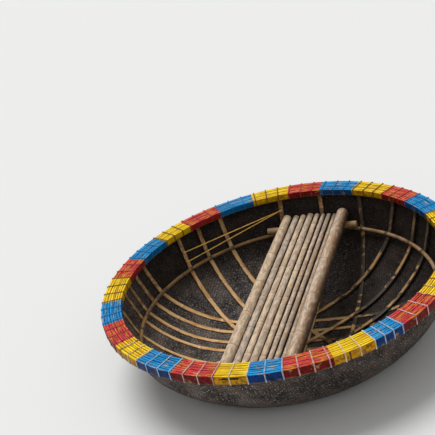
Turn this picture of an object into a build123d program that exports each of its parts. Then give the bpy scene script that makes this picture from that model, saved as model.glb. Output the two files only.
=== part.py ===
"""Round woven basket boat, a coracle, with a painted and lashed bamboo rim.

The origin is on the waterline at the centre of the bowl, +Z up and +Y along
the platform's poles. Lengths are in millimetres and angles in degrees.
"""

import math
import os

from build123d import *

os.makedirs("parts", exist_ok=True)

# Driving dimensions of the bowl
rim_diameter = 2200
bowl_depth = 580
draft = 120
hull_thickness = 10
collar_height = 60
collar_bend_radius = 180
wall_angle = 70
wall_length = 148
chine_radius = 120
chine_angle = 52
floor_angle = 5.5

# Clearance between pieces that lie against each other
seat = 0.3

# Driving dimensions of the ribs
rib_width = 29
rib_thickness = 4.5
rib_layers = 4

# Strips in each rim lath, and the run of their scarf joints for each unit of thickness
lath_strips = 2
scarf_slope = 5

# Driving dimensions of the hoop inside the bowl
hoop_diameter = 24
hoop_angle = 60
hoop_tie_wall = 2.6
hoop_tie_length = 18

# Driving dimensions of the platform
platform_shift = 26
beam_diameter = 44
beam_offset = 868
pole_end_gap = 4
pole_gap = 0.4
bamboo_wall_share = 0.16
pole_bore_depth = 70
node_height = 1.6
node_half_length = 11

# Driving dimensions of the rim lashings
lash_thickness = 2
lash_width = 9

# Driving dimensions of the rope
rope_diameter = 8
rope_knot_diameter = 22
rope_far_drop = 125
rope_left_drops = [153, 217]

# Rim laths, bent strips on edge, from the bowl outwards:
# name, thickness, height, drop of its top edge, angle of its first splice
inner_laths = [
    ("rim_inner_lath_1", 15, 44, 0.8, 28),
    ("rim_inner_lath_2", 15, 42, 0.0, 106),
    ("rim_inner_lath_3", 15, 43, 1.4, 65),
]
outer_laths = [
    ("rim_outer_lath_1", 17, 50, 0.5, 147),
    ("rim_outer_lath_2", 17, 52, 1.6, 89),
    ("rim_outer_lath_3", 17, 54, 0.0, 10),
    ("rim_outer_lath_4", 17, 56, 1.0, 125),
]

# Painted bands of the rim, counter-clockwise from the near yellow one:
# start angle, panels between lashings. They run yellow, blue, red.
rim_bands = [
    (264, 2), (274, 2), (284, 3), (297, 3), (310.5, 3), (320, 3),
    (335.5, 3), (349, 3), (363, 3), (377, 3), (390.5, 3), (405, 3),
    (417.5, 3), (431, 3), (444.5, 3), (458, 3), (471.5, 3), (486, 3),
    (500, 3), (513, 3), (526.5, 3), (540, 3), (555, 3), (568.5, 3),
    (582.5, 3), (596, 3), (610, 3),
]
full_turn = 360

# Ribs, flat split bamboo: family, direction angle, layer on the hull,
# and how far each rib runs from the centre, to the left of its direction
rib_families = [
    ("rib_across", 0, 0, [-209, -57, 35, 145, 250]),
    ("rib_along", 90, 1, [-341, -60, 220]),
    ("rib_slant_left", 135, 2, [-145, 30, 194]),
    ("rib_slant_right", 45, 3, [-207, -49, 170]),
]

# Platform poles from left to right: near diameter, far diameter,
# first node from the near end, spacing of the nodes
platform_poles = [
    (68, 58, 330, 340),
    (46, 43, 210, 330),
    (44, 41, 290, 310),
    (48, 45, 160, 350),
    (41, 39, 260, 300),
    (36, 34, 130, 320),
    (38, 36, 240, 330),
    (35, 33, 180, 290),
    (85, 80, 380, 400),
]


def sine(angle):
    return math.sin(math.radians(angle))


def cosine(angle):
    return math.cos(math.radians(angle))


# Rim, worked out from the outer edge inwards
rim_radius = rim_diameter / 2
rim_top = bowl_depth + hull_thickness - draft
outer_width = sum(lath[1] + seat for lath in outer_laths)
collar_radius = rim_radius - outer_width - hull_thickness
inner_width = sum(lath[1] + seat for lath in inner_laths)
rim_inner_radius = collar_radius - inner_width

# Bowl section, from the collar down to the end of the chine
wall_top_radius = collar_radius - collar_bend_radius * (1 - sine(wall_angle))
wall_top_height = rim_top - collar_height - collar_bend_radius * cosine(wall_angle)
chine_top_radius = wall_top_radius - wall_length * cosine(wall_angle)
chine_top_height = wall_top_height - wall_length * sine(wall_angle)
chine_centre_radius = chine_top_radius - chine_radius * sine(wall_angle)
chine_centre_height = chine_top_height + chine_radius * cosine(wall_angle)
chine_foot_radius = chine_centre_radius + chine_radius * sine(chine_angle)
chine_foot_height = chine_centre_height - chine_radius * cosine(chine_angle)

# The bilge and floor arcs meet the chine and the bottom of the bowl
bowl_floor = rim_top - bowl_depth
bilge_rise = chine_foot_height - bowl_floor
bilge_run_share = sine(chine_angle) - sine(floor_angle)
bilge_rise_share = cosine(floor_angle) - cosine(chine_angle)
floor_run_share = sine(floor_angle)
floor_rise_share = 1 - cosine(floor_angle)
solve_by = bilge_run_share * floor_rise_share - floor_run_share * bilge_rise_share
bilge_radius = (chine_foot_radius * floor_rise_share - floor_run_share * bilge_rise) / solve_by
floor_radius = (bilge_run_share * bilge_rise - bilge_rise_share * chine_foot_radius) / solve_by

# Arcs of the bowl line from the centre outwards: radius, turn
bowl_arcs = [
    (floor_radius, floor_angle),
    (bilge_radius, chine_angle - floor_angle),
    (chine_radius, wall_angle - chine_angle),
]

# Ribs end under the rim's inner laths and lashings
lath_depth = max(height + drop for _, _, height, drop, _ in inner_laths)
rib_top = rim_top - lath_depth - lash_thickness - 2 * seat
rib_step = rib_thickness + seat
rib_stack = rib_layers * rib_step

# Hoop centre line
hoop_inset = rib_stack + seat + hoop_tie_wall + seat + hoop_diameter / 2
hoop_radius = chine_centre_radius + (chine_radius - hoop_inset) * sine(hoop_angle)
hoop_height = chine_centre_height - (chine_radius - hoop_inset) * cosine(hoop_angle)

# Beam and pole heights
beam_height = hoop_height + (hoop_diameter + beam_diameter) / 2 + seat
pole_bed = beam_height + beam_diameter / 2 + seat


def bowl_line(inset, top):
    """Inner line of the bowl moved inwards by inset, from the axis up to top."""
    point = Vector(0, bowl_floor + inset)
    heading = Vector(1, 0)
    for radius, turn in bowl_arcs:
        arc = JernArc(point, heading, radius - inset, turn)
        point = arc @ 1
        heading = arc % 1
    wall = Line(point, point + heading * wall_length)
    bend = JernArc(wall @ 1, heading, collar_bend_radius - inset, 90 - wall_angle)
    return Line(bend @ 1, (collar_radius - inset, top))


def bowl_radius(height, inset):
    """Clear radius of the wall at a height, with inset taken off inwards."""
    over_foot = (height - chine_top_height) / math.tan(math.radians(wall_angle))
    return chine_top_radius + over_foot - inset / sine(wall_angle)


def bowl_section(inner, outer, top):
    """Closed half section between two lines of the bowl."""
    with BuildSketch(Plane.XZ) as section:
        with BuildLine():
            outside = bowl_line(outer, top)
            inside = bowl_line(inner, top)
            Line(outside @ 1, inside @ 1)
            Line((0, bowl_floor + outer), (0, bowl_floor + inner))
        make_face()
    return section.sketch


def cut_scarfs(radius, thickness, first_angle):
    """Slanting cuts through a lath's ring at equal turns, where its strips meet."""
    with PolarLocations(radius, lath_strips, first_angle):
        Box(
            seat,
            2 * scarf_slope * thickness,
            2 * (rim_top + seat),
            rotation=(0, 0, math.degrees(math.atan(1 / scarf_slope))),
            mode=Mode.SUBTRACT,
        )


def write(part, name):
    part.label = name
    export_step(part, "parts/" + name + ".step")


# Woven and tarred hull
with BuildPart() as hull_basket:
    revolve(bowl_section(0, -hull_thickness, rim_top), axis=Axis.Z)
write(hull_basket.part, "hull_basket")

# Rim laths, each a ring of strips that meet end to end in scarf joints
lath_rows = []
lath_radius = rim_inner_radius
for name, thickness, height, drop, splice in inner_laths:
    lath_rows.append((name, lath_radius, thickness, height, drop, splice))
    lath_radius += thickness + seat
lath_radius = collar_radius + hull_thickness + seat
for name, thickness, height, drop, splice in outer_laths:
    lath_rows.append((name, lath_radius, thickness, height, drop, splice))
    lath_radius += thickness + seat
for name, radius, thickness, height, drop, splice in lath_rows:
    with BuildPart() as rim_lath:
        with BuildSketch(Plane.XZ):
            with Locations((radius, rim_top - drop)):
                Rectangle(thickness, height, align=(Align.MIN, Align.MAX))
        revolve(axis=Axis.Z)
        cut_scarfs(radius + thickness / 2, thickness, splice)
    write(rim_lath.part, name)

# Rim lashings, open at the bottom where the hull passes between the laths
lash_in = rim_inner_radius - seat
lash_out = rim_radius + seat
lash_top = rim_top + seat
lash_inner_foot = rim_top - lath_depth - seat
outer_depth = max(height + drop for _, _, height, drop, _ in outer_laths)
lash_outer_foot = rim_top - outer_depth - seat
lash_angles = []
band_ends = [start for start, _ in rim_bands[1:]] + [rim_bands[0][0] + full_turn]
for (start, panels), end in zip(rim_bands, band_ends):
    lash_angles += [start + (end - start) * step / panels for step in range(panels)]
with BuildPart() as one_lash:
    with BuildSketch(Plane.XZ):
        with BuildLine():
            Polyline(
                (collar_radius - seat, lash_inner_foot),
                (lash_in, lash_inner_foot),
                (lash_in, lash_top),
                (lash_out, lash_top),
                (lash_out, lash_outer_foot),
                (collar_radius + hull_thickness + seat, lash_outer_foot),
                (collar_radius + hull_thickness + seat, lash_outer_foot - lash_thickness),
                (lash_out + lash_thickness, lash_outer_foot - lash_thickness),
                (lash_out + lash_thickness, lash_top + lash_thickness),
                (lash_in - lash_thickness, lash_top + lash_thickness),
                (lash_in - lash_thickness, lash_inner_foot - lash_thickness),
                (collar_radius - seat, lash_inner_foot - lash_thickness),
                close=True,
            )
        make_face()
    extrude(amount=lash_width / 2, both=True)
with BuildPart() as rim_lashings:
    for angle in lash_angles:
        add(one_lash.part.rotate(Axis.Z, angle))
write(rim_lashings.part, "rim_lashings")

# Ribs, each a flat strip that follows the bowl from rim to rim
rib_lines = []
for family, direction, layer, offsets in rib_families:
    near = seat + layer * rib_step
    for number, offset_left in enumerate(offsets, 1):
        name = f"{family}_{number}"
        with BuildPart() as rib:
            revolve(bowl_section(near + rib_thickness, near, rib_top), axis=Axis.Z)
            middle = Vector(0, offset_left).rotate(Axis.Z, direction)
            with Locations(Location((middle.X, middle.Y, 0), (0, 0, direction))):
                Box(rim_diameter, rib_width, 2 * rim_diameter, mode=Mode.INTERSECT)
        write(rib.part, name)
        rib_lines.append((direction, offset_left))

# Hoop inside the bowl, laid over the ribs
with BuildPart() as mid_hoop:
    with BuildSketch(Plane.XZ):
        with Locations((hoop_radius, hoop_height)):
            Circle(hoop_diameter / 2)
    revolve(axis=Axis.Z)
write(mid_hoop.part, "mid_hoop")

# Ties round the hoop at each crossing of a rib
tie_angles = []
for direction, offset_left in rib_lines:
    swing = math.degrees(math.asin(offset_left / hoop_radius))
    tie_angles.append(direction + swing)
    tie_angles.append(direction + 180 - swing)
with BuildPart() as hoop_ties:
    for angle in tie_angles:
        centre = Vector(hoop_radius * cosine(angle), hoop_radius * sine(angle), hoop_height)
        along = Vector(-sine(angle), cosine(angle), 0)
        with BuildSketch(Plane(origin=centre, z_dir=along)):
            Circle(hoop_diameter / 2 + seat + hoop_tie_wall)
            Circle(hoop_diameter / 2 + seat, mode=Mode.SUBTRACT)
        extrude(amount=hoop_tie_length / 2, both=True)
write(hoop_ties.part, "hoop_ties")

# Cross beams on the hoop, under the ends of the poles
beam_far_side = beam_offset + beam_diameter / 2
beam_clear = bowl_radius(beam_height - beam_diameter / 2, rib_stack)
beam_reach = math.sqrt(beam_clear**2 - beam_far_side**2) - seat
for name, side in (("beam_far", 1), ("beam_near", -1)):
    with BuildPart() as beam:
        with BuildSketch(Plane(origin=(0, side * beam_offset, beam_height), z_dir=(1, 0, 0))):
            Circle(beam_diameter / 2)
        extrude(amount=beam_reach, both=True)
    write(beam.part, name)

# Platform poles, tapered bamboo with raised nodes and open ends
pole_clear = bowl_radius(pole_bed, rib_stack)
bore_share = (1 - 2 * bamboo_wall_share) / 2
pole_pitch_gap = pole_gap + 2 * node_height
platform_width = sum(pole[0] for pole in platform_poles) + pole_pitch_gap * (len(platform_poles) - 1)
left_side = platform_shift - platform_width / 2
for number, (near_size, far_size, first_node, spacing) in enumerate(platform_poles, 1):
    across = left_side + near_size / 2
    left_side += near_size + pole_pitch_gap
    reach = math.sqrt(pole_clear**2 - (abs(across) + near_size / 2) ** 2) - pole_end_gap
    start = Vector(across, -reach, pole_bed + near_size / 2)
    finish = Vector(across, reach, pole_bed + far_size / 2)
    length = (finish - start).length
    run = (finish - start).normalized()
    stations = [(0, near_size / 2)]
    node_place = first_node
    while node_place < length - pole_bore_depth:
        size = near_size / 2 + (far_size - near_size) / 2 * node_place / length
        stations += [
            (node_place - node_half_length, size),
            (node_place, size + node_height),
            (node_place + node_half_length, size),
        ]
        node_place += spacing
    stations.append((length, far_size / 2))
    with BuildPart() as pole:
        with BuildSketch(Plane(origin=start, x_dir=run, z_dir=(1, 0, 0))):
            with BuildLine():
                Polyline(
                    (pole_bore_depth, 0),
                    (pole_bore_depth, near_size * bore_share),
                    (0, near_size * bore_share),
                    *stations,
                    (length, far_size * bore_share),
                    (length - pole_bore_depth, far_size * bore_share),
                    (length - pole_bore_depth, 0),
                    close=True,
                )
            make_face()
        revolve(axis=Axis(start, run))
    write(pole.part, f"platform_pole_{number}")

# Rope, two taut strands tied to the wall stretches of two ribs
def rib_knot(direction, layer, offset_left, height, end):
    """Centre of a knot on the front of a rib, at end 1 or -1 of its run."""
    front = seat + layer * rib_step + rib_thickness + seat + rope_knot_diameter / 2
    radius = bowl_radius(height, front)
    along = end * math.sqrt(radius**2 - offset_left**2)
    return Vector(along, offset_left, height).rotate(Axis.Z, direction)


_, along_direction, along_layer, along_offsets = rib_families[1]
_, slant_direction, slant_layer, slant_offsets = rib_families[2]
far_height = rim_top - rope_far_drop
far_knot = rib_knot(along_direction, along_layer, along_offsets[-1], far_height, 1)
with BuildPart() as rope:
    with Locations(far_knot):
        Sphere(rope_knot_diameter / 2)
    for drop in rope_left_drops:
        left_height = rim_top - drop
        left_knot = rib_knot(slant_direction, slant_layer, slant_offsets[-1], left_height, 1)
        with Locations(left_knot):
            Sphere(rope_knot_diameter / 2)
        with BuildSketch(Plane(origin=far_knot, z_dir=left_knot - far_knot)):
            Circle(rope_diameter / 2)
        extrude(amount=(left_knot - far_knot).length)
write(rope.part, "rope")
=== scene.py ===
"""Looks of the round basket boat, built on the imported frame.

The origin is on the waterline at the centre of the bowl, +Z up and +Y along
the platform's poles. Lengths are in metres and angles in degrees.
"""

import math
import random
from bisect import bisect

import bpy
from mathutils import Euler, Matrix, Vector, noise


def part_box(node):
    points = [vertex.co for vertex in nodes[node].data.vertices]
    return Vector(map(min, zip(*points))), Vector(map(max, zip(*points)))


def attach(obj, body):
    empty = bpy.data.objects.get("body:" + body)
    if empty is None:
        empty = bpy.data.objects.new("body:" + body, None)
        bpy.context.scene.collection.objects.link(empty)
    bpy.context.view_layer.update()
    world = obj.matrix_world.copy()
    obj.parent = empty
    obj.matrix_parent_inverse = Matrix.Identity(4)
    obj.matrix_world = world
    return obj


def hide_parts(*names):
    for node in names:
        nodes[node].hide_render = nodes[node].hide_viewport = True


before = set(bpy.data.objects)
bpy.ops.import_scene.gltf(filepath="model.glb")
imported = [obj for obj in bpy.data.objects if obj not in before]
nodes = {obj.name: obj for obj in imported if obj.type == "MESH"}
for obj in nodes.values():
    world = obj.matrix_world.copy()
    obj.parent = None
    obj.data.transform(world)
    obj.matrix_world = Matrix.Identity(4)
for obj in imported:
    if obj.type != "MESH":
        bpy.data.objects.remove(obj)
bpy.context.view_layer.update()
scene = bpy.context.scene
scene.view_settings.view_transform = "Standard"
random.seed(27)

# The photograph's camera
photo_width = 435
focal_length = 1100
sensor_width = 36
camera_place = (1.947, -5.484, 3.656)
camera_azimuth = 292.2
camera_elevation = 25.48
camera_roll = -15.37

# Sizes of the rim, read from the frame where it has them
inner_lath_width = 0.015
outer_lath_width = 0.017
hull_width = 0.010
hull_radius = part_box("hull_basket")[1].x
rim_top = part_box("hull_basket")[1].z
rim_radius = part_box("rim_outer_lath_4")[1].x
rim_inner_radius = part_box("rim_inner_lath_1")[1].x - inner_lath_width

# Width of the basket's woven strips
mat_strip = 0.018

# Strips in each rim lath, the run of their scarf joints for each unit of thickness, and the
# angle of each lath's first joint
lath_strips = 2
scarf_slope = 5
lath_splices = {"inner": [28, 106, 65], "outer": [147, 89, 10, 125]}
worn_through_lath = "rim_outer_lath_4"

# Painted bands of the rim, counter-clockwise: start angles, coats, and the two bands with room
# for fewer lashings
band_starts = [
    3, 17, 30.5, 45, 57.5, 71, 84.5, 98, 111.5, 126, 140, 153, 166.5, 180,
    195, 208.5, 222.5, 236, 250, 264, 274, 284, 297, 310.5, 320, 335.5, 349,
]
band_coats = ["red", "yellow", "blue"] * 9
short_bands = [264, 274]
coat_colours = {
    "red": (0.66, 0.040, 0.048),
    "yellow": (0.97, 0.70, 0.010),
    "blue": (0.0, 0.30, 0.69),
}


# Camera

turn_to_view = Euler((
    math.radians(90 - camera_elevation), 0, math.radians(camera_azimuth + 90)
)).to_matrix()
roll_in_view = Matrix.Rotation(math.radians(camera_roll), 3, "Z")
bpy.ops.object.camera_add(
    location=camera_place, rotation=(turn_to_view @ roll_in_view).to_euler()
)
camera = bpy.context.object
camera.data.sensor_width = sensor_width
camera.data.lens = focal_length / photo_width * sensor_width
scene.camera = camera


# Node helpers

def feed(tree, socket, value):
    """Links a socket into another, or sets its plain value. A colour is given without alpha."""
    if isinstance(value, bpy.types.NodeSocket):
        tree.links.new(value, socket)
    elif socket.type == "RGBA":
        socket.default_value = (*value, 1)
    else:
        socket.default_value = value


def feed_all(tree, sockets, values):
    """Feeds sockets by their names or numbers."""
    for key, value in values.items():
        feed(tree, sockets[key], value)


def add_node(tree, kind, inputs, **settings):
    """One shader node with its settings and what feeds it. Returns its outputs."""
    node = tree.nodes.new("ShaderNode" + kind)
    for name, value in settings.items():
        setattr(node, name, value)
    feed_all(tree, node.inputs, inputs)
    return node.outputs


def calc(tree, operation, *values, clamp=False):
    """One Math node, by its operation and values."""
    inputs = dict(enumerate(values))
    return add_node(tree, "Math", inputs, operation=operation, use_clamp=clamp)[0]


def times(tree, value, other):
    """Two values multiplied."""
    return calc(tree, "MULTIPLY", value, other)


def add_share(tree, value, other, share):
    """A value plus another one times its share."""
    return calc(tree, "ADD", value, times(tree, other, share))


def weighted(tree, first, *others):
    """Sum of values, each given with its weight."""
    total = times(tree, *first)
    for value, weight in others:
        total = add_share(tree, total, value, weight)
    return total


def apart(tree, value, middle):
    """Distance between two values."""
    return calc(tree, "ABSOLUTE", calc(tree, "SUBTRACT", value, middle))


def sway(tree, grain, reach):
    """A noise as a shift to both sides, with its reach from end to end."""
    return times(tree, calc(tree, "SUBTRACT", grain, 0.5), reach)


def shaken(tree, value, grain, reach):
    """A value moved to both sides by a noise."""
    return calc(tree, "ADD", value, sway(tree, grain, reach))


def off_nearest(tree, count, spacing):
    """Signed distance from the nearest whole count, when each takes a spacing."""
    share = calc(tree, "SUBTRACT", calc(tree, "FRACT", calc(tree, "ADD", count, 0.5)), 0.5)
    return times(tree, share, spacing)


def between(tree, value, low, high):
    """0 below low and 1 above high, with a smooth step between them."""
    inputs = {"Value": value, "From Min": low, "From Max": high}
    return add_node(tree, "MapRange", inputs, interpolation_type="SMOOTHSTEP")["Result"]


def below(tree, value, low, high):
    """1 below low and 0 above high, with a smooth step between them."""
    return calc(tree, "SUBTRACT", 1, between(tree, value, low, high))


def blend(tree, mask, first, second, way="MIX", strength=None):
    """One colour Mix node, at a mask times its strength."""
    share = mask if strength is None else times(tree, mask, strength)
    inputs = {0: share, 6: first, 7: second}
    return add_node(tree, "Mix", inputs, data_type="RGBA", blend_type=way)[2]


def along_x(tree, vector, direction):
    """A vector turned so that a level direction runs along X."""
    turn = (0, 0, -math.radians(direction))
    return add_node(tree, "Mapping", {"Vector": vector, "Rotation": turn})[0]


def join_axes(tree, x, y, z):
    """A vector made of three values."""
    return add_node(tree, "CombineXYZ", {0: x, 1: y, 2: z})[0]


def split_axes(tree, vector):
    """The three values of a vector."""
    return add_node(tree, "SeparateXYZ", {0: vector})


def cloud(tree, vector, scale, detail=2, roughness=0.5):
    """A noise value at a scale per metre of its vector, or at one for each axis."""
    if isinstance(scale, tuple):
        stretched = add_node(tree, "VectorMath", {0: vector, 1: scale}, operation="MULTIPLY")
        vector, scale = stretched[0], 1
    return add_node(tree, "TexNoise", {
        "Vector": vector, "Scale": scale, "Detail": detail, "Roughness": roughness,
    })[0]


def random_value(tree, x, y, z):
    """A value that is random for each set of three numbers."""
    return add_node(tree, "TexWhiteNoise", {"Vector": join_axes(tree, x, y, z)})["Value"]


def uv_map(tree, name):
    """Places of a mesh's UV map."""
    return add_node(tree, "UVMap", {}, uv_map=name)["UV"]


def new_group(name, inputs, outputs, defaults=()):
    """An empty shader node group. Its sockets are given as lists of names for each kind."""
    tree = bpy.data.node_groups.new(name, "ShaderNodeTree")
    new_socket = tree.interface.new_socket
    for way, sockets in (("INPUT", inputs), ("OUTPUT", outputs)):
        for kind, titles in sockets.items():
            for title in titles:
                made = new_socket(title, in_out=way, socket_type="NodeSocket" + kind)
                if title in defaults:
                    made.default_value = defaults[title]
    return tree, tree.nodes.new("NodeGroupInput").outputs, tree.nodes.new("NodeGroupOutput").inputs


def place(tree, group, values):
    """One node of a group with its own values. Returns its outputs."""
    return add_node(tree, "Group", values, node_tree=group)


def new_material(name):
    """A material, its node tree and its Object coordinates."""
    material = bpy.data.materials.new(name)
    material.use_nodes = True
    tree = material.node_tree
    return material, tree, add_node(tree, "TexCoord", {})["Object"]


def finished(material, colour, roughness, height=None, relief=0, specular=0.5):
    """Fills a material's shader. A height of 1 stands for the relief in metres."""
    tree = material.node_tree
    shader = tree.nodes["Principled BSDF"]
    feed_all(tree, shader.inputs, {
        "Base Color": colour, "Roughness": roughness, "Specular IOR Level": specular,
    })
    if height is not None:
        bump = add_node(tree, "Bump", {"Strength": 1, "Distance": relief, "Height": height})
        feed(tree, shader.inputs["Normal"], bump[0])
    return material


# Shared effects

def round_the_boat_group():
    """Cylinder coordinates about the bowl's axis."""
    tree, given, out = new_group(
        "round_the_boat", {"Vector": ["Vector"]},
        {"Float": ["Turn", "Radius", "Height"], "Vector": ["Unrolled"]},
    )
    x, y, z = split_axes(tree, given["Vector"])
    angle = calc(tree, "ARCTAN2", y, x)
    squares = calc(tree, "ADD", times(tree, x, x), times(tree, y, y))
    radius = calc(tree, "SQRT", squares)
    around = times(tree, angle, rim_radius)
    feed_all(tree, out, {
        "Turn": calc(tree, "FRACT", calc(tree, "DIVIDE", angle, 2 * math.pi)),
        "Radius": radius, "Height": z, "Unrolled": join_axes(tree, around, radius, z),
    })
    return tree


def band_colour_group():
    """Coat of the painted band at a turn round the rim. Yellow is 1 on the yellow bands."""
    tree, given, out = new_group(
        "band_colour", {"Float": ["Turn"]}, {"Color": ["Color"], "Float": ["Yellow"]}
    )
    ramp = tree.nodes.new("ShaderNodeValToRGB")
    ramp.color_ramp.interpolation = "CONSTANT"
    stops = ramp.color_ramp.elements
    stops[0].position = 0
    stops.remove(stops[1])
    last_coat = band_coats[-1]
    stops[0].color = (*coat_colours[last_coat], last_coat == "yellow")
    for start, coat in zip(band_starts, band_coats):
        stop = stops.new(start / 360)
        stop.color = (*coat_colours[coat], coat == "yellow")
    feed(tree, ramp.inputs["Fac"], given["Turn"])
    feed_all(tree, out, {"Color": ramp.outputs["Color"], "Yellow": ramp.outputs["Alpha"]})
    return tree


def worn_paint_group():
    """Banded paint on a bamboo lath, streaked along it, rubbed at corners, with painted shade on
    its sides and painted light on the left's inner faces.
    """
    tree, given, out = new_group(
        "worn_paint",
        {"Vector": ["Vector"], "Float": [
            "Inner Radius", "Width", "Top", "Bottom", "Splice", "Jointed", "Worn Through"]},
        {"Color": ["Color"], "Float": ["Roughness", "Height"]},
    )
    spot = place(tree, round_the_boat, {"Vector": given["Vector"]})
    coat = place(tree, band_colour, {"Turn": spot["Turn"]})
    yellow = coat["Yellow"]
    blue = between(tree, add_node(tree, "SeparateColor", {0: coat["Color"]})[2], 0.3, 0.4)
    across = calc(tree, "SUBTRACT", spot["Radius"], given["Inner Radius"])
    other_side = apart(tree, given["Width"], across)
    side = calc(tree, "MINIMUM", calc(tree, "ABSOLUTE", across), other_side)
    depth = calc(tree, "SUBTRACT", given["Top"], spot["Height"])
    over_foot = calc(tree, "SUBTRACT", spot["Height"], given["Bottom"])
    lines = cloud(tree, spot["Unrolled"], (13, 230, 150), 3, 0.6)
    dark_lines = cloud(tree, spot["Unrolled"], (9, 330, 240), 2, 0.5)
    patches = cloud(tree, spot["Unrolled"], 13, 3, 0.65)
    grime = cloud(tree, spot["Unrolled"], 55, 4, 0.7)

    # Paint of the top, with dark grooves along it, darkened with painted shade
    faded = between(tree, patches, 0.42, 0.62)
    painted = blend(tree, faded, coat["Color"], (0.72, 0.62, 0.62), "MULTIPLY", 0.35)
    grooves = between(tree, dark_lines, 0.54, 0.60)
    groove_shade = blend(tree, yellow, (0.30, 0.16, 0.24), (0.62, 0.36, 0.14))
    painted = blend(tree, grooves, painted, groove_shade, "MULTIPLY", 0.75)

    # Bamboo where the top is rubbed, and painted shade as a dark line beside the next lath
    off_corner = calc(tree, "ADD", side, calc(tree, "ABSOLUTE", depth))
    corner = calc(tree, "SUBTRACT", 1, calc(tree, "DIVIDE", off_corner, 0.009), clamp=True)
    rubbed = weighted(tree, (lines, 0.9), (corner, 0.20), (patches, 0.35), (blue, -0.055))
    wear = between(tree, rubbed, 0.725, 0.79)
    bare = blend(tree, yellow, (0.90, 0.47, 0.030), (0.66, 0.31, 0.020))
    bare = blend(tree, blue, bare, (0.66, 0.52, 0.16), strength=0.5)
    top_face = blend(tree, wear, painted, bare, strength=0.85)
    between_laths = below(tree, shaken(tree, side, lines, 0.004), 0.0010, 0.0030)
    lath_gap_shade = blend(tree, yellow, (0.12, 0.05, 0.10), (0.30, 0.14, 0.06))
    top_face = blend(tree, between_laths, top_face, lath_gap_shade, "MULTIPLY", 0.8)

    # Painted shade on the sides: the coat deepened and darkened, with dirt and scraped bare spots;
    # less painted shade on the inner faces, and painted light on the left's inner faces
    shaded_coat = add_node(tree, "Gamma", {"Color": coat["Color"], "Gamma": 1.9})[0]
    shaded = blend(tree, yellow, (0.38, 0.38, 0.38), (0.62, 0.55, 0.5))
    side_face = blend(tree, 1, shaded_coat, shaded, "MULTIPLY")
    dirty = between(tree, grime, 0.40, 0.62)
    side_face = blend(tree, dirty, side_face, (0.20, 0.12, 0.10), "MULTIPLY", 0.85)
    off_left = between(tree, apart(tree, spot["Turn"], 0.46), 0.10, 0.20)
    inner_face_light = add_share(tree, 0.45, off_left, -0.35)
    inward = below(tree, across, 0.004, 0.008)
    side_face = blend(tree, inward, side_face, painted, strength=inner_face_light)
    scraped = between(tree, weighted(tree, (grime, 0.55), (patches, 0.5)), 0.615, 0.66)
    side_face = blend(tree, scraped, side_face, (0.30, 0.17, 0.065))
    uneven = shaken(tree, depth, grime, 0.006)
    colour = blend(tree, between(tree, uneven, 0.003, 0.008), top_face, side_face)

    # Bare foot, the hole worn through one lath, painted dark as the shade inside it, and the dark
    # seam of each scarf joint
    bare_foot = below(tree, shaken(tree, over_foot, grime, 0.03), 0.002, 0.006)
    colour = blend(tree, bare_foot, colour, (0.20, 0.105, 0.035))
    hole_turn = shaken(tree, apart(tree, spot["Turn"], 0.7475), patches, 0.02)
    hole_level = below(tree, apart(tree, uneven, 0.0155), 0.0045, 0.0060)
    hole = times(tree, below(tree, hole_turn, 0.0085, 0.0095), hole_level)
    hole = times(tree, hole, given["Worn Through"])
    colour = blend(tree, hole, colour, (0.018, 0.010, 0.006))
    off_splice = calc(tree, "SUBTRACT", spot["Turn"], given["Splice"])
    off_splice = off_nearest(
        tree, times(tree, off_splice, lath_strips),
        2 * math.pi * rim_radius / lath_strips)
    off_middle = calc(tree, "SUBTRACT", across, times(tree, given["Width"], 0.5))
    off_seam = calc(tree, "ABSOLUTE", add_share(tree, off_splice, off_middle, scarf_slope))
    seam = times(tree, below(tree, off_seam, 0.003, 0.007), given["Jointed"])
    colour = blend(tree, seam, colour, (0.030, 0.016, 0.010), strength=0.85)

    feed_all(tree, out, {
        "Color": colour,
        "Roughness": add_share(tree, 0.42, wear, 0.3),
        "Height": weighted(
            tree, (lines, 0.5), (grooves, -0.6), (wear, -0.3), (seam, -1.2), (hole, -3)),
    })
    return tree


def weave_group():
    """Two over two twill of flat strips. Dash is a random value for each stretch on top."""
    tree, given, out = new_group(
        "weave", {"Float": ["Across", "Along", "Strip"]}, {"Float": ["Height", "Dash"]}
    )
    across = calc(tree, "DIVIDE", given["Across"], given["Strip"])
    along = calc(tree, "DIVIDE", given["Along"], given["Strip"])
    column = calc(tree, "FLOOR", across)
    row = calc(tree, "FLOOR", along)
    step = calc(tree, "ADD", column, row)
    over = calc(tree, "LESS_THAN", calc(tree, "FLOORED_MODULO", step, 4), 2)
    under = calc(tree, "SUBTRACT", 1, over)
    crown_across, crown_along = (
        calc(tree, "SINE", times(tree, calc(tree, "FRACT", place_in_row), math.pi))
        for place_in_row in (across, along)
    )
    crown = weighted(tree, (crown_across, over), (crown_along, under))
    strand = weighted(tree, (column, over), (row, under))
    stretch = calc(tree, "FLOOR", calc(tree, "DIVIDE", step, 4))
    feed_all(tree, out, {
        "Height": calc(tree, "POWER", crown, 0.5),
        "Dash": random_value(tree, strand, stretch, over),
    })
    return tree


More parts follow.
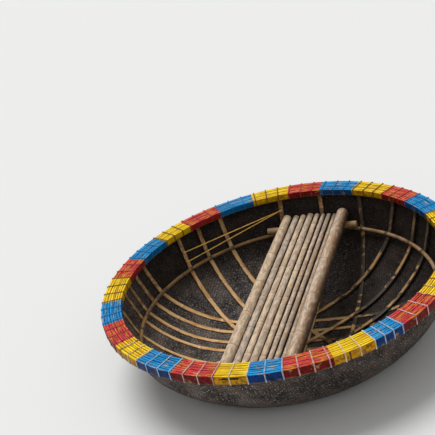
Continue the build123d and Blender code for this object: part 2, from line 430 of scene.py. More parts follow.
def bamboo_group():
    """Bamboo along the vector's X: fibres, blotches, mould and joints."""
    tree, given, out = new_group(
        "bamboo",
        {"Vector": ["Vector"], "Color": ["Pale", "Deep", "Stain"], "Float": [
            "First Joint", "Joint Spacing", "Stained", "Specks", "Joint Mark", "Greyed"]},
        {"Color": ["Color"], "Float": ["Roughness", "Height"]},
        {"Specks": 0.3, "Joint Mark": 0.4},
    )
    fibres = cloud(tree, given["Vector"], (5, 260, 260), 4, 0.65)
    blotches = cloud(tree, given["Vector"], (5, 22, 22), 4, 0.6)
    mould = cloud(tree, given["Vector"], (34, 110, 110), 3, 0.6)
    patches = cloud(tree, given["Vector"], (16, 58, 58), 4, 0.7)
    past_first = calc(
        tree, "SUBTRACT", split_axes(tree, given["Vector"])[0], given["First Joint"])
    joints_passed = calc(tree, "DIVIDE", past_first, given["Joint Spacing"])
    off_joint = off_nearest(tree, joints_passed, given["Joint Spacing"])
    off_joint = shaken(tree, off_joint, mould, 0.010)
    line = below(tree, apart(tree, off_joint, 0.007), 0.002, 0.006)
    bloom = below(tree, calc(tree, "ABSOLUTE", off_joint), 0.004, 0.016)
    length_tone = random_value(
        tree, calc(tree, "FLOOR", joints_passed), given["First Joint"], given["Joint Spacing"])

    colour = blend(tree, between(tree, fibres, 0.32, 0.68), given["Pale"], given["Deep"])
    colour = blend(tree, length_tone, colour, given["Deep"], strength=0.45)
    greyed = between(tree, patches, 0.46, 0.58)
    colour = blend(tree, greyed, colour, (0.23, 0.195, 0.165), strength=given["Greyed"])
    bleached = between(tree, patches, 0.52, 0.36)
    colour = blend(tree, bleached, colour, (0.74, 0.60, 0.44), strength=given["Greyed"])
    colour = blend(tree, bloom, colour, given["Pale"], strength=0.7)
    stained = between(tree, blotches, 0.48, 0.66)
    colour = blend(tree, stained, colour, given["Stain"], strength=given["Stained"])
    specks = between(tree, mould, 0.60, 0.70)
    colour = blend(tree, specks, colour, (0.045, 0.038, 0.03), strength=given["Specks"])
    colour = blend(tree, line, colour, (0.10, 0.06, 0.035), strength=given["Joint Mark"])
    feed_all(tree, out, {
        "Color": colour,
        "Roughness": add_share(tree, 0.42, fibres, 0.35),
        "Height": weighted(tree, (fibres, 0.5), (line, -0.8)),
    })
    return tree


round_the_boat = round_the_boat_group()
band_colour = band_colour_group()
worn_paint = worn_paint_group()
weave = weave_group()
bamboo = bamboo_group()


# Materials

def painted_lath(name, inner_radius, width, top, bottom, splice, worn_through):
    """Worn banded paint on one lath."""
    material, tree, spot = new_material(name)
    paint = place(tree, worn_paint, {
        "Vector": spot, "Inner Radius": inner_radius, "Width": width, "Top": top, "Bottom": bottom,
        "Splice": (splice or 0) / 360, "Jointed": splice is not None, "Worn Through": worn_through,
    })
    return finished(material, paint["Color"], paint["Roughness"], paint["Height"], 0.0014, 0.12)


def tarred_basket(name, wetness_and_shade):
    """Woven strips under tar, which has worn off some of them."""
    material, tree, spot = new_material(name)
    mat = uv_map(tree, "mat")
    strip_x, strip_y, _ = split_axes(tree, mat)
    strips = place(tree, weave, {"Across": strip_x, "Along": strip_y, "Strip": mat_strip})
    film = cloud(tree, spot, 7, 4, 0.65)
    grit = cloud(tree, spot, 110, 3, 0.65)
    smear = cloud(tree, spot, 32, 4, 0.7)
    fibres = cloud(tree, mat, 420, 3, 0.7)

    # Tar in large paler patches of a thinner film that also stand for painted sheen, with strips
    # rubbed brown or grey, pale grit, and painted shade in the gaps between strips
    thin_film_and_sheen = between(tree, film, 0.38, 0.66)
    tar = blend(tree, thin_film_and_sheen, (0.033, 0.026, 0.022), (0.138, 0.115, 0.100))
    tar = blend(tree, between(tree, smear, 0.54, 0.68), tar, (0.205, 0.180, 0.164))
    shown = shaken(tree, shaken(tree, strips["Dash"], film, 1.2), fibres, 0.5)
    rubbed = between(tree, shown, 0.74, 1.02)
    colour = blend(tree, rubbed, tar, (0.155, 0.085, 0.048), strength=0.7)
    greyed = between(tree, calc(tree, "SUBTRACT", 1, shown), 0.74, 0.98)
    colour = blend(tree, greyed, colour, (0.075, 0.070, 0.068), strength=0.6)
    colour = blend(tree, between(tree, grit, 0.57, 0.66), colour, (0.38, 0.335, 0.305))
    # Painted shade in the gaps between the woven strips
    gaps = below(tree, strips["Height"], 0.30, 0.72)
    colour = blend(tree, gaps, colour, (0.004, 0.0035, 0.003), strength=0.9)

    # Painted shadow over the right bay and painted shade up the far wall, darkening the tar
    x, y, z = split_axes(tree, spot)
    right_bay_shadow = between(tree, shaken(tree, x, film, 0.7), 0.08, 0.36)
    far_side = between(tree, shaken(tree, y, film, 0.7), -0.1, 0.3)
    far_wall_shade = times(tree, between(tree, z, 0.02, 0.22), far_side)
    shadow_and_wall_shade = calc(tree, "MAXIMUM", right_bay_shadow, far_wall_shade)
    colour = blend(tree, shadow_and_wall_shade, colour, (0.09, 0.064, 0.045), "MULTIPLY", 2.6 * wetness_and_shade)

    shine = between(tree, smear, 0.50, 0.62)
    roughness = calc(tree, "SUBTRACT", 0.66 - wetness_and_shade / 4, times(tree, shine, wetness_and_shade))
    height = weighted(tree, (strips["Height"], 0.5), (grit, 0.5), (fibres, 0.35))
    return finished(material, colour, roughness, height, 0.0024, 0.09)


def lashing_cord():
    """Pale cord on the near bands, dark or painted over on the far ones."""
    material, tree, spot = new_material("nylon_lashing")
    turned = place(tree, round_the_boat, {"Vector": spot})
    coat = place(tree, band_colour, {"Turn": turned["Turn"]})
    dirt = cloud(tree, turned["Unrolled"], 40, 3, 0.6)
    off_near = shaken(tree, apart(tree, turned["Turn"], 0.785), dirt, 0.12)
    far = between(tree, off_near, 0.135, 0.165)
    old = blend(tree, coat["Yellow"], coat["Color"], (0.22, 0.10, 0.012))
    old = blend(tree, 0.6, old, (0.45, 0.42, 0.42), "MULTIPLY")
    pale = blend(tree, between(tree, dirt, 0.42, 0.62), (0.68, 0.66, 0.65), (0.40, 0.36, 0.33))
    pale = blend(tree, 0.34, pale, coat["Color"])
    roughness = add_share(tree, 0.45, dirt, 0.3)
    colour = blend(tree, far, pale, old)
    return finished(material, colour, roughness, cloud(tree, spot, 900), 0.0004)


def beam_bamboo(name):
    """A brown beam along X."""
    material, tree, spot = new_material("bamboo_" + name)
    stem = place(tree, bamboo, {
        "Vector": spot, "First Joint": 0.09, "Joint Spacing": 0.28,
        "Pale": (0.52, 0.33, 0.16), "Deep": (0.30, 0.18, 0.08), "Stain": (0.12, 0.075, 0.04),
        "Stained": 0.6,
    })
    return finished(material, stem["Color"], stem["Roughness"], stem["Height"], 0.0012)


def rib_bamboo():
    """Split bamboo, tan on the left floor, with tar up the wall, a painted shadow darkening it in
    broken patches on the right, and painted shade along its edges.
    """
    material, tree, spot = new_material("rib_bamboo")
    length = uv_map(tree, "length")
    stem = place(tree, bamboo, {
        "Vector": length, "First Joint": 0.1, "Joint Spacing": 0.27,
        "Pale": (0.88, 0.60, 0.32), "Deep": (0.64, 0.34, 0.10), "Stain": (0.46, 0.185, 0.028),
        "Stained": 0.9, "Specks": 0.6, "Joint Mark": 0.4,
    })
    x, _, z = split_axes(tree, spot)
    drift = cloud(tree, spot, 5, 3, 0.6)
    mottle = cloud(tree, spot, 26, 3, 0.6)
    breaks = cloud(tree, spot, 10, 3, 0.65)
    # Painted shadow over the right bay, blacker in broken patches
    right_bay_shadow = between(tree, shaken(tree, x, drift, 1), 0.16, 0.34)
    colour = blend(tree, right_bay_shadow, stem["Color"], (0.22, 0.115, 0.028), strength=0.66)
    broken = between(tree, breaks, 0.45, 0.52)
    colour = blend(tree, right_bay_shadow, colour, (0.034, 0.020, 0.010), strength=broken)
    # Tar up the wall, its share raised where the painted shadow of the right bay falls
    high = between(tree, shaken(tree, z, drift, 0.25), 0.15, 0.27)
    tar_and_shadow_share = add_share(tree, 0.38, between(tree, mottle, 0.38, 0.58), 0.42)
    tar_and_shadow_share = add_share(tree, tar_and_shadow_share, right_bay_shadow, 0.15)
    colour = blend(tree, high, colour, (0.070, 0.045, 0.024), strength=tar_and_shadow_share)
    # Painted shade along both edges of the rib, orange-brown on the left and black in the right
    # bay
    off_middle = calc(tree, "ABSOLUTE", split_axes(tree, length)[1])
    edge = add_share(tree, shaken(tree, off_middle, mottle, 0.018), right_bay_shadow, 0.0025)
    edge_shade = blend(tree, right_bay_shadow, (0.15, 0.058, 0.015), (0.022, 0.015, 0.010))
    colour = blend(tree, between(tree, edge, 0.0105, 0.0145), colour, edge_shade, strength=0.85)
    return finished(material, colour, stem["Roughness"], stem["Height"], 0.0010, 0.3)


def platform_bamboo(name, first_joint, spacing, stained, pale, flanks, right_brown_and_shade):
    """A weathered pole along Y, with painted shade low in the gaps beside it, and brown on its
    right that is partly stain and partly painted shade.
    """
    material, tree, spot = new_material("bamboo_" + name)
    low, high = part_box(name)
    middle = (low.x + high.x) / 2
    stem = place(tree, bamboo, {
        "Vector": along_x(tree, spot, 90), "First Joint": low.y + first_joint,
        "Joint Spacing": spacing, "Pale": pale, "Deep": [0.7 * tone for tone in pale],
        "Stain": (0.36, 0.195, 0.09), "Stained": stained, "Greyed": 0.55, "Joint Mark": 0.7,
    })
    x, _, z = split_axes(tree, spot)
    grime = cloud(tree, spot, (40, 14, 40), 4, 0.7)
    mottle = cloud(tree, spot, (60, 22, 60), 3, 0.6)
    uneven = sway(tree, grime, 0.018)
    off_middle = calc(tree, "SUBTRACT", calc(tree, "ADD", x, uneven), middle)
    to_right = calc(tree, "DIVIDE", off_middle, high.x - middle)
    # Brown on the right flank, partly stain and partly painted shade, then painted shade at its
    # right edge
    patchy = add_share(tree, 0.45, between(tree, mottle, 0.36, 0.60), 0.55)
    brown = times(tree, between(tree, to_right, -0.15, 0.55), patchy)
    colour = blend(tree, brown, stem["Color"], (0.19, 0.088, 0.030), strength=right_brown_and_shade)
    shade = between(tree, to_right, 0.45, 0.95)
    colour = blend(tree, shade, colour, (0.035, 0.018, 0.009), strength=0.9 * right_brown_and_shade)
    # Painted shade low on the flanks, in the gaps beside the pole
    over_bed = calc(tree, "ADD", calc(tree, "SUBTRACT", z, low.z), uneven)
    gap_top = min(0.031, 0.75 * (high.z - low.z))
    pole_gap_shade = below(tree, over_bed, gap_top - 0.004, gap_top + 0.004)
    share = add_share(
        tree, flanks[0], between(tree, to_right, -0.1, 0.1), flanks[1] - flanks[0])
    colour = blend(tree, pole_gap_shade, colour, (0.010, 0.008, 0.006), strength=share)
    return finished(material, colour, stem["Roughness"], stem["Height"], 0.0014, 0.3)


def hoop_bamboo():
    """Bent cane, brown on the left and tan on the right."""
    material, tree, spot = new_material("hoop_bamboo")
    turned = place(tree, round_the_boat, {"Vector": spot})
    stem = place(tree, bamboo, {
        "Vector": turned["Unrolled"], "First Joint": 0.12, "Joint Spacing": 0.31,
        "Pale": (0.36, 0.19, 0.05), "Deep": (0.12, 0.055, 0.014), "Stain": (0.035, 0.022, 0.012),
        "Stained": 0.8, "Specks": 0.5, "Joint Mark": 0.6,
    })
    mottle = between(tree, cloud(tree, spot, 16, 4, 0.65), 0.42, 0.60)
    right = between(tree, split_axes(tree, spot)[0], 0.0, 0.5)
    weathered = times(tree, add_share(tree, 0.08, right, 0.82), mottle)
    colour = blend(tree, weathered, stem["Color"], (0.31, 0.195, 0.10))
    return finished(material, colour, stem["Roughness"], stem["Height"], 0.0012)


def cane_tie():
    """Dark flat rattan."""
    material, tree, spot = new_material("cane_tie")
    streaks = cloud(tree, spot, 220, 3, 0.6)
    lit = between(tree, streaks, 0.35, 0.65)
    colour = blend(tree, lit, (0.05, 0.032, 0.02), (0.17, 0.10, 0.05))
    return finished(material, colour, add_share(tree, 0.4, streaks, 0.35), streaks, 0.0006)


def golden_rope():
    """Twisted rope of yellow fibre."""
    material, tree, spot = new_material("rope")
    fibres = cloud(tree, spot, 420, 3, 0.7)
    dirt = between(tree, cloud(tree, spot, 18, 3, 0.6), 0.5, 0.7)
    colour = blend(tree, between(tree, fibres, 0.35, 0.65), (0.92, 0.60, 0.13), (0.68, 0.36, 0.05))
    colour = blend(tree, dirt, colour, (0.25, 0.15, 0.06), strength=0.5)
    return finished(material, colour, add_share(tree, 0.5, fibres, 0.3), fibres, 0.0006)


def pale_floor():
    """The floor's plain pale finish."""
    material, tree, _ = new_material("pale_floor")
    return finished(material, (0.74, 0.74, 0.73), 0.8)


# Modelling helpers

def select(first, *others):
    """Selects objects and nothing else, the first as the active one."""
    bpy.ops.object.select_all(action="DESELECT")
    for obj in (first, *others):
        obj.select_set(True)
    bpy.context.view_layer.objects.active = first


def apply_place():
    """Moves the new object's place, turn and scale into its mesh."""
    bpy.ops.object.transform_apply(location=True, rotation=True, scale=True)


def start_editing():
    """Opens the active object's mesh, all of it selected."""
    bpy.ops.object.mode_set(mode="EDIT")
    bpy.ops.mesh.select_all(action="SELECT")


def end_editing():
    """Turns the open mesh's faces outwards and closes it."""
    bpy.ops.mesh.select_all(action="SELECT")
    bpy.ops.mesh.normals_make_consistent(inside=False)
    bpy.ops.object.mode_set(mode="OBJECT")


def lay_map(mesh, name, spots):
    """Writes a mesh's UV map from one spot for each vertex."""
    layer = mesh.uv_layers[0] if mesh.uv_layers else mesh.uv_layers.new()
    layer.name = name
    for loop in mesh.loops:
        layer.data[loop.index].uv = spots[loop.vertex_index]


def rename(obj, name):
    """Gives an object and its mesh one name."""
    obj.name = name
    obj.data.name = name


def tubes(name, runs, radius, resolution):
    """One mesh of round tubes, each along a list of points."""
    curve = bpy.data.curves.new(name, "CURVE")
    curve.dimensions = "3D"
    curve.bevel_depth = radius
    curve.bevel_resolution = resolution
    curve.use_fill_caps = True
    for points in runs:
        line = curve.splines.new("POLY")
        line.points.add(len(points) - 1)
        for point, spot in zip(line.points, points):
            point.co = (*spot, 1)
    obj = bpy.data.objects.new(name, curve)
    scene.collection.objects.link(obj)
    select(obj)
    bpy.ops.object.convert(target="MESH")
    bpy.ops.object.shade_smooth()
    return obj


def join(name, parts):
    """Joins objects into one named piece."""
    select(*parts)
    bpy.ops.object.join()
    rename(parts[0], name)
    return parts[0]


def swing(angle):
    """A turn about the bowl's axis."""
    return Matrix.Rotation(math.radians(angle), 4, "Z")


def copies(obj, matrices):
    """Copies of an object, each moved by a matrix, in place of the object."""
    made = []
    for matrix in matrices:
        copy = obj.copy()
        copy.data = obj.data.copy()
        copy.data.transform(matrix)
        scene.collection.objects.link(copy)
        made.append(copy)
    bpy.data.objects.remove(obj)
    return made


def dress(obj, material):
    """Gives a piece its material."""
    obj.data.materials.clear()
    obj.data.materials.append(material)


def stand_for(obj, material, cad_node):
    """Finishes a new piece that takes the place of a CAD node."""
    dress(obj, material)
    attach(obj, "root")
    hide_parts(cad_node)


# Bowl's inner line, which the weave and the ribs follow

line_centre = 0.2
line_steps = 220
line_search_step = 0.001


def bowl_inner_line():
    """Points of the bowl's inner line, radius and height, from the middle out."""
    hull = nodes["hull_basket"]
    centre = Vector((0, 0, line_centre))
    points = []
    for step in range(line_steps + 1):
        angle = math.radians(-90 + step / 2)
        found, spot, _, _ = hull.ray_cast(centre, Vector((math.cos(angle), 0, math.sin(angle))))
        if found and spot.z < rim_top - 0.001:
            points.append(Vector((spot.x, spot.z)))
    return points


bowl_line = bowl_inner_line()
bowl_distance = [0]
for first, second in zip(bowl_line, bowl_line[1:]):
    bowl_distance.append(bowl_distance[-1] + (second - first).length)
bowl_radii = [point.x for point in bowl_line]


def on_bowl(distance):
    """Point and inward normal of the bowl's inner line at a distance from the middle."""
    index = min(max(bisect(bowl_distance, distance), 1), len(bowl_line) - 1)
    start, end = bowl_distance[index - 1], bowl_distance[index]
    share = (distance - start) / (end - start)
    point = bowl_line[index - 1].lerp(bowl_line[index], share)
    before = bowl_line[max(index - 3, 0)]
    after = bowl_line[min(index + 2, len(bowl_line) - 1)]
    run = (after - before).normalized()
    return point, Vector((-run.y, run.x))


def distance_at(radius):
    """Distance along the bowl's inner line at a radius."""
    index = min(max(bisect(bowl_radii, radius), 1), len(bowl_line) - 1)
    share = (radius - bowl_radii[index - 1]) / (bowl_radii[index] - bowl_radii[index - 1])
    return bowl_distance[index - 1] + share * (bowl_distance[index] - bowl_distance[index - 1])


def distance_below(height):
    """Longest distance along the bowl's inner line that ends below a height."""
    distance = bowl_distance[-1]
    while on_bowl(distance)[0].y > height:
        distance -= line_search_step
    return distance


# Radius halfway through the hull's wall at the waterline
wall_inside, wall_outside = (
    nodes["hull_basket"].ray_cast(Vector((start, 0, 0)), Vector((way, 0, 0)))[1].x
    for start, way in ((0, 1), (2 * rim_radius, -1))
)
waterline_radius = (wall_inside + wall_outside) / 2


# Rim laths, strips on edge with rounded corners and small waves

lath_corner = 0.0045
lath_steps = 320
lath_wave = 0.0032
wave_scale = 7
ripple_scale = 60
ripple_share = 0.3
smooth_angle = math.radians(50)


def lath_ring(name, cad_node, low, high, width, wave_seed, splice=None, worn_through=False):
    """One ring on edge, spun from its section between two heights."""
    middle = (low.z + high.z) / 2
    bpy.ops.mesh.primitive_plane_add(
        size=1, location=(high.x - width / 2, 0, middle), rotation=(math.radians(90), 0, 0)
    )
    lath = bpy.context.object
    lath.scale = (width, high.z - low.z, 1)
    apply_place()
    start_editing()
    bpy.ops.mesh.bevel(offset=lath_corner, segments=3, affect="VERTICES")
    bpy.ops.mesh.select_all(action="SELECT")
    bpy.ops.mesh.delete(type="ONLY_FACE")
    bpy.ops.mesh.select_all(action="SELECT")
    bpy.ops.mesh.spin(steps=lath_steps, angle=2 * math.pi, center=(0, 0, 0), axis=(0, 0, 1))
    bpy.ops.mesh.select_all(action="SELECT")
    bpy.ops.mesh.remove_doubles(threshold=0.0001)
    end_editing()
    bpy.ops.object.shade_smooth_by_angle(angle=smooth_angle)
    seed_shift = Vector((0, 0, wave_seed))
    for vertex in lath.data.vertices:
        angle = math.atan2(vertex.co.y, vertex.co.x)
        around = Vector((math.cos(angle), math.sin(angle), 0))
        wave = noise.noise(around * wave_scale + seed_shift)
        ripple = noise.noise(around * ripple_scale + seed_shift)
        drop = (1 - wave * (1 - ripple_share) - ripple * ripple_share) / 2
        if vertex.co.z > middle:
            vertex.co.z -= drop * lath_wave
    rename(lath, name)
    material = painted_lath(
        "paint_" + name, high.x - width, width, high.z, low.z, splice, worn_through
    )
    stand_for(lath, material, cad_node)


seed = 0
for side, width in (("inner", inner_lath_width), ("outer", outer_lath_width)):
    for number, splice in enumerate(lath_splices[side], 1):
        seed += 3.1
        cad_node = f"rim_{side}_lath_{number}"
        lath_ring(
            f"painted_{side}_lath_{number}", cad_node, *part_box(cad_node), width, seed,
            splice, cad_node == worn_through_lath,
        )

# Edge of the basket between the laths

edge_height = 0.045
edge_seed = 40
edge_low = Vector((0, 0, rim_top - edge_height))
edge_high = Vector((hull_radius, 0, rim_top))
lath_ring("basket_edge", "hull_basket", edge_low, edge_high, hull_width, edge_seed)


# Rim lashings, three turns of cord each, open under the hull

cord_radius = 0.0011
cord_lift = 0.0013
cord_turns = [-0.0025, 0, 0.0025]
cord_bend = 0.004
cord_slant = 2.5

lash_angles = []
for start, end in zip(band_starts, band_starts[1:] + [band_starts[0] + 360]):
    panels = 2 if start in short_bands else 3
    lash_angles += [start + (end - start) * step / panels for step in range(panels)]


def rounded_path(corners, bend, steps):
    """A path in the XZ plane through corners, each rounded by a short arc."""
    points = [corners[0]]
    for before, corner, after in zip(corners, corners[1:], corners[2:]):
        start = corner + (before - corner).normalized() * bend
        end = corner + (after - corner).normalized() * bend
        for step in range(steps + 1):
            share = step / steps
            points.append(
                start * (1 - share) ** 2 + corner * 2 * share * (1 - share) + end * share**2
            )
    return points + [corners[-1]]


def rim_foot(side):
    """Height of the lowest lath's foot on one side of the rim."""
    numbers = range(1, len(lath_splices[side]) + 1)
    return min(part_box(f"rim_{side}_lath_{number}")[0].z for number in numbers)


cord_inside = rim_inner_radius - cord_lift
cord_outside = rim_radius + cord_lift
cord_top = rim_top + cord_lift
inner_foot = rim_foot("inner") - cord_lift
outer_foot = rim_foot("outer") - cord_lift
lash_corners = [
    (hull_radius - hull_width, inner_foot), (cord_inside, inner_foot), (cord_inside, cord_top),
    (cord_outside, cord_top), (cord_outside, outer_foot), (hull_radius, outer_foot),
]
lash_path = rounded_path([Vector((x, 0, z)) for x, z in lash_corners], cord_bend, 3)
one_lashing = tubes(
    "one_lashing",
    [[point + Vector((0, side, 0)) for point in lash_path] for side in cord_turns],
    cord_radius, 1,
)
to_rim = Matrix.Translation(((rim_inner_radius + rim_radius) / 2, 0, 0))
lashings = copies(one_lashing, [
    swing(angle) @ to_rim @ swing(random.uniform(-cord_slant, cord_slant)) @ to_rim.inverted()
    for angle in lash_angles
])
stand_for(join("rim_cords", lashings), lashing_cord(), "rim_lashings")


# Basket, a flat mat of twilled strips pressed into the bowl, as two skins of one wall

weave_depth = 0.0034
weave_side_level = 0.2
strip_slack = 0.3
slack_count = 61
mat_top = rim_top - 0.030


def strand_over(column, row):
    """Whether the strip of this column lies on the strip of this row."""
    return (column + row) % 4 < 2


def weave_level(i, j, slack):
    """Level of the mat, 1 on a strip's crown and 0 in a gap, at half strips i and j."""
    column, row = i // 2, j // 2
    over = strand_over(column, row)
    sag = slack[column % len(slack)] if over else slack[(row * 7 + 3) % len(slack)]
    if i % 2 and j % 2:
        return 1 - sag
    if i % 2:
        return 1 - sag if over and strand_over(column, row - 1) else weave_side_level
    if j % 2:
        return 1 - sag if not over and not strand_over(column - 1, row) else weave_side_level
    return 0


def flat_mat(count, half, reach, outside):
    """A square grid of half strips, trimmed to a disc. The outer one faces down."""
    bpy.ops.mesh.primitive_grid_add(x_subdivisions=count, y_subdivisions=count, size=count * half)
    mesh = bpy.context.object.data
    away = [vertex.co.to_2d().length > reach for vertex in mesh.vertices]
    bpy.ops.object.mode_set(mode="EDIT")
    bpy.ops.mesh.select_mode(type="FACE")
    bpy.ops.mesh.select_all(action="DESELECT")
    bpy.ops.object.mode_set(mode="OBJECT")
    for face in mesh.polygons:
        face.select = all(away[index] for index in face.vertices)
    bpy.ops.object.mode_set(mode="EDIT")
    bpy.ops.mesh.delete(type="FACE")
    bpy.ops.mesh.select_mode(type="VERT")
    if outside:
        bpy.ops.mesh.select_all(action="SELECT")
        bpy.ops.mesh.flip_normals()
    bpy.ops.object.mode_set(mode="OBJECT")
    return bpy.context.object


def woven_skin(name, outside):
    """One face of the basket's wall, a mat laid on the bowl's line."""
    reach = distance_below(mat_top)
    half = mat_strip / 2
    count = 2 * math.ceil(reach / half)
    skin = flat_mat(count, half, reach, outside)
    shift = 2 if outside else 0
    slack = [random.uniform(0, strip_slack) for _ in range(slack_count)]
    spots = []
    for vertex in skin.data.vertices:
        i = round(vertex.co.x / half) + count
        j = round(vertex.co.y / half) + count
        spots.append((vertex.co.x + shift * mat_strip, vertex.co.y))
        point, normal = on_bowl(min(vertex.co.to_2d().length, reach))
        turn = math.atan2(vertex.co.y, vertex.co.x)
        sink = (1 - weave_level(i + 2 * shift, j, slack)) * weave_depth
        lift = sink - hull_width if outside else -sink
        radius = point.x + normal.x * lift
        vertex.co = (radius * math.cos(turn), radius * math.sin(turn), point.y + normal.y * lift)
    lay_map(skin.data, "mat", spots)
    bpy.ops.object.shade_smooth()
    rename(skin, name)
    return skin


for side, wetness_and_shade in (("inside", 0.34), ("outside", 0.12)):
    skin = woven_skin("basket_" + side, side == "outside")
    stand_for(skin, tarred_basket("tar_" + side, wetness_and_shade), "hull_basket")


# Ribs, split bamboo with a rounded back, laid on the bowl's inner line

rib_width = 0.029
rib_thickness = 0.0045
rib_step = 0.0048
rib_seat = 0.0003
rib_section = [
    (-0.5, 0), (-0.5, 0.50), (-0.36, 0.80), (-0.15, 0.97), (0.15, 0.97), (0.36, 0.80), (0.5, 0.50),
    (0.5, 0),
]
rib_rows = 120
rib_row_bias = 1.3
rib_map_step = 3.71
flat_radius = 0.8

# Each family's direction, layer and count of ribs
rib_families = {
    "rib_across": (0, 0, 5),
    "rib_along": (90, 1, 3),
    "rib_slant_left": (135, 2, 3),
    "rib_slant_right": (45, 3, 3),
}
ribs = [
    (f"{family}_{number}", direction, layer)
    for family, (direction, layer, count) in rib_families.items()
    for number in range(1, count + 1)
]


def rib_lie(cad_node, direction):
    """Unit vectors along a rib and to its left, and its place to the left of the middle."""
    run = Vector((math.cos(math.radians(direction)), math.sin(math.radians(direction)), 0))
    left = Vector((-run.y, run.x, 0))
    reach = [vertex.co.dot(left) for vertex in nodes[cad_node].data.vertices]
    return run, left, (min(reach) + max(reach)) / 2


def rib_strip(cad_node, direction, layer, material, map_start):
    """One rib, a grid shaped onto the bowl and closed at its ends."""
    run, left, offset = rib_lie(cad_node, direction)
    inset = rib_seat + layer * rib_step
    near_distance = distance_at(abs(offset))
    arc = distance_below(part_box(cad_node)[1].z) - near_distance
    bpy.ops.mesh.primitive_grid_add(
        x_subdivisions=rib_rows, y_subdivisions=len(rib_section) - 1, size=1
    )
    rib = bpy.context.object
    spots = {}
    for vertex in rib.data.vertices:
        side = -1 if vertex.co.x < 0 else 1
        past_middle = arc * abs(vertex.co.x * 2) ** rib_row_bias
        across, rise = rib_section[round((vertex.co.y + 0.5) * (len(rib_section) - 1))]
        sideways = offset + across * rib_width
        point, normal = on_bowl(near_distance + past_middle)
        along = math.sqrt(max(point.x**2 - offset**2, 0))
        if point.x < flat_radius:
            radius = math.hypot(along, sideways)
            point, normal = on_bowl(distance_at(radius))
            point = Vector((radius, point.y))
        else:
            along = math.sqrt(point.x**2 - sideways**2)
        lift = inset + rise * rib_thickness
        out = (run * along * side + left * sideways) / point.x
        spot = out * (point.x + normal.x * lift)
        spot.z = point.y + normal.y * lift
        spots[vertex.index] = (map_start + side * past_middle, across * rib_width)
        vertex.co = spot
    lay_map(rib.data, "length", spots)
    bpy.ops.object.mode_set(mode="EDIT")
    bpy.ops.mesh.select_all(action="DESELECT")
    bpy.ops.mesh.select_non_manifold()
    bpy.ops.mesh.fill()
    end_editing()
    bpy.ops.object.shade_smooth_by_angle(angle=smooth_angle)
    rename(rib, cad_node + "_split")
    stand_for(rib, material, cad_node)


rib_material = rib_bamboo()
map_start = 0
for cad_node, direction, layer in ribs:
    map_start += rib_map_step
    rib_strip(cad_node, direction, layer, rib_material, map_start)


# Hoop ties, six turns of flat cane each, where the ribs cross under the hoop

tie_turns = 6
tie_pitch = 0.003
tie_depth = 0.0013
tie_seat = 0.0003
hoop_low, hoop_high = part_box("mid_hoop")
hoop_height = (hoop_low.z + hoop_high.z) / 2
hoop_section = (hoop_high.z - hoop_low.z) / 2
hoop_radius = hoop_high.x - hoop_section

tie_angles = []
for cad_node, direction, _ in ribs:
    off_direction = math.degrees(math.asin(rib_lie(cad_node, direction)[2] / hoop_radius))
    tie_angles += [direction + off_direction, direction + 180 - off_direction]

turns = []
for turn in range(tie_turns):
    bpy.ops.mesh.primitive_torus_add(
        location=(hoop_radius, (turn - (tie_turns - 1) / 2) * tie_pitch, hoop_height),
        rotation=(math.radians(90), 0, 0),
        major_segments=20,
        minor_segments=6,
        major_radius=hoop_section + tie_seat + tie_depth,
        minor_radius=tie_depth,
    )
    apply_place()
    turns.append(bpy.context.object)
one_tie = join("one_tie", turns)
bpy.ops.object.shade_smooth()
ties = copies(one_tie, [swing(angle) for angle in tie_angles])
stand_for(join("hoop_cane_ties", ties), cane_tie(), "hoop_ties")


# Rope, two strands of three twisted yarns between their knots

yarn_radius = 0.0019
yarn_offset = 0.0020
twist_pitch = 0.034
twist_steps = 10
knot_radius = 0.011
knot_yarn = 0.0034
knot_steps = 48


def rope_ends():
    """Middles of the rope's knots: the far one, then the left ones."""
    points = [vertex.co for vertex in nodes["rope"].data.vertices]
    far_side = max(points, key=lambda point: point.y)
    far = [p for p in points if (p - far_side).length < 2.2 * knot_radius]
    rest = [p for p in points if p.x < min(q.x for q in points) + 3 * knot_radius]
    level = (min(p.z for p in rest) + max(p.z for p in rest)) / 2
    middles = []
    for group in (far, [p for p in rest if p.z > level], [p for p in rest if p.z < level]):
        low = Vector([min(p[axis] for p in group) for axis in range(3)])
        high = Vector([max(p[axis] for p in group) for axis in range(3)])
        middles.append((low + high) / 2)
    return middles


def twisted(start, end):
    """Paths of three yarns twisted round a straight line."""
    run = (end - start).normalized()
    side = run.cross(Vector((0, 0, 1))).normalized()
    upward = run.cross(side)
    length = (end - start).length
    count = int(length / twist_pitch * twist_steps)
    paths = [[], [], []]
    for yarn, path in enumerate(paths):
        for step in range(count + 1):
            share = step / count
            angle = 2 * math.pi * (share * length / twist_pitch + yarn / 3)
            offset = (side * math.cos(angle) + upward * math.sin(angle)) * yarn_offset
            path.append(start + run * length * share + offset)
    return paths


def knot_path(middle):
    """A trefoil knot of one thick yarn inside the knot's ball."""
    path = []
    size = (knot_radius - knot_yarn) / 3
    for step in range(knot_steps + 1):
        angle = 2 * math.pi * step / knot_steps
        path.append(middle + Vector((
            math.sin(angle) + 2 * math.sin(2 * angle),
            math.cos(angle) - 2 * math.cos(2 * angle),
            -2 * math.sin(3 * angle),
        )) * size)
    return path


knots = rope_ends()
far_knot, *left_knots = knots
yarns = [path for left_knot in left_knots for path in twisted(far_knot, left_knot)]
rope_runs = tubes("rope_runs", yarns, yarn_radius, 1)
rope_knots = tubes("rope_knots", [knot_path(knot) for knot in knots], knot_yarn, 2)
stand_for(join("rope_strands", [rope_runs, rope_knots]), golden_rope(), "rope")


# Finishes of the CAD nodes that show

dress(nodes["mid_hoop"], hoop_bamboo())

for name in ("beam_far", "beam_near"):
    dress(nodes[name], beam_bamboo(name))
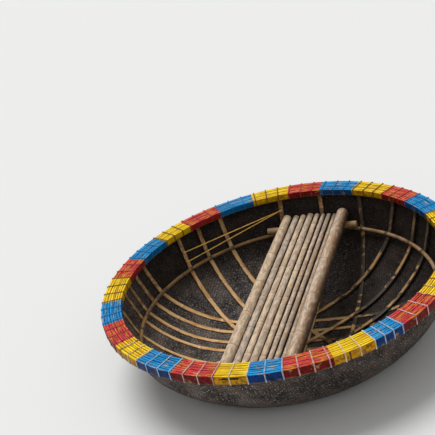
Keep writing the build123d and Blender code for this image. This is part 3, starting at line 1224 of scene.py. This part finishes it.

# Platform poles from left to right: first joint from the near end, joint spacing, stain, tone,
# painted shade low on the left and right flanks, brown stain and painted shade on the right flank
tan = (0.70, 0.51, 0.33)
pink = (0.62, 0.46, 0.325)
grey = (0.53, 0.42, 0.32)
brown = (0.47, 0.34, 0.23)
platform_poles = [
    (0.330, 0.340, 0.45, tan, (0.2, 1), 0), (0.210, 0.330, 0.35, grey, (1, 1), 0),
    (0.290, 0.310, 0.30, tan, (1, 1), 0), (0.160, 0.350, 0.35, pink, (1, 1), 0),
    (0.260, 0.300, 0.30, tan, (1, 1), 0.1), (0.130, 0.320, 0.60, pink, (1, 1), 0.3),
    (0.240, 0.330, 0.50, brown, (1, 1), 0.4), (0.180, 0.290, 0.60, brown, (1, 1), 0.4),
    (0.380, 0.400, 0.60, pink, (1, 0.5), 0.9),
]
for number, looks in enumerate(platform_poles, 1):
    name = f"platform_pole_{number}"
    dress(nodes[name], platform_bamboo(name, *looks))


# Floor at the waterline, with a hole inside the hull's wall

floor_radius = 40
floor_steps = 256
floor_scale = floor_radius / waterline_radius

bpy.ops.mesh.primitive_circle_add(vertices=floor_steps, radius=waterline_radius)
floor = bpy.context.object
floor.name = "floor"
start_editing()
bpy.ops.mesh.extrude_region_move()
bpy.ops.transform.resize(value=(floor_scale, floor_scale, 1))
end_editing()
floor.data.materials.append(pale_floor())


# Soft studio light

def soft_light(name, kind, place_at, power):
    """A lamp aimed at the rim's middle. Returns its settings."""
    bpy.ops.object.light_add(type=kind, location=place_at)
    lamp = bpy.context.object
    lamp.name = name
    lamp.data.energy = power
    aim = Vector((0, 0, rim_top / 2)) - Vector(place_at)
    lamp.rotation_euler = aim.to_track_quat("-Z", "Y").to_euler()
    return lamp.data


soft_light("sky_lamp", "SUN", (-1.4, 1.4, 5.0), 2.3).angle = math.radians(38)
soft_light("front_lamp", "AREA", (3.0, -4.5, 3.5), 25).size = 3

# The pale room is brighter to the camera and in reflections than as light
room_light = 0.45
room_seen_extra = 0.5

world = bpy.data.worlds.new("pale_room")
scene.world = world
world.use_nodes = True
room = world.node_tree
rays = add_node(room, "LightPath", {})
mirrored = calc(room, "MAXIMUM", rays["Is Glossy Ray"], rays["Is Transmission Ray"])
seen = calc(room, "MAXIMUM", rays["Is Camera Ray"], mirrored)
feed_all(room, room.nodes["Background"].inputs, {
    "Color": (0.93, 0.94, 0.95),
    "Strength": add_share(room, room_light, seen, room_seen_extra),
})
